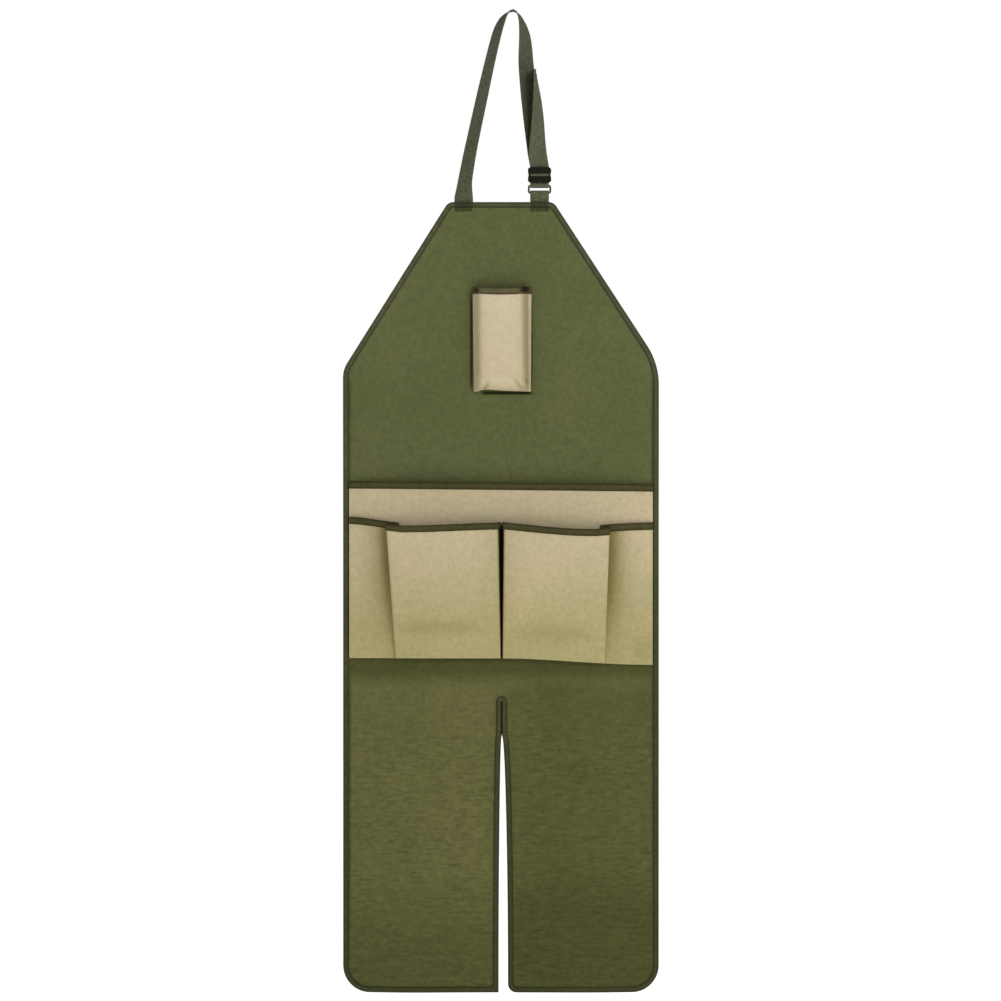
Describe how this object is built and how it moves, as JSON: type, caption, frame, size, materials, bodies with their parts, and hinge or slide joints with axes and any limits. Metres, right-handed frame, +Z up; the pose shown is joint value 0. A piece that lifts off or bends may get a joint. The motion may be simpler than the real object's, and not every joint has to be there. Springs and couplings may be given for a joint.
{
  "type": "gardening apron",
  "caption": "Canvas gardening apron with a narrow bib, bound edges, split legs, phone and tool pockets, and an adjustable webbing neck strap",
  "frame": {"origin": "under the top of the neck strap, where the apron hangs on a hook", "axes": "+X runs across the apron, to the right as its front is looked at; +Y runs from the front to the back; +Z runs up along the apron's length"},
  "size_m": [0.42, 0.0487, 1.3056],
  "materials": {
    "olive_canvas": "washed olive cotton canvas with a fine weave",
    "olive_tape": "dark olive woven cotton tape",
    "phone_pocket_canvas": "light tan cotton canvas",
    "pocket_canvas": "tan cotton canvas",
    "olive_webbing": "ribbed olive webbing",
    "ring_metal": "dark painted wire",
    "slider_plastic": "black moulded plastic, satin"
  },
  "bodies": {
    "root": {"apron_panel": "olive_canvas", "edge_binding": "olive_tape", "phone_pocket": "phone_pocket_canvas", "phone_pocket_binding": "olive_tape", "tool_pocket": "pocket_canvas", "tool_pocket_binding": "olive_tape", "left_front_pocket": "pocket_canvas", "left_front_pocket_binding": "olive_tape", "right_front_pocket": "pocket_canvas", "right_front_pocket_binding": "olive_tape", "neck_strap": "olive_webbing", "strap_tab": "olive_webbing", "strap_ring": "ring_metal", "strap_slider": "slider_plastic"}
  },
  "joints": []
}
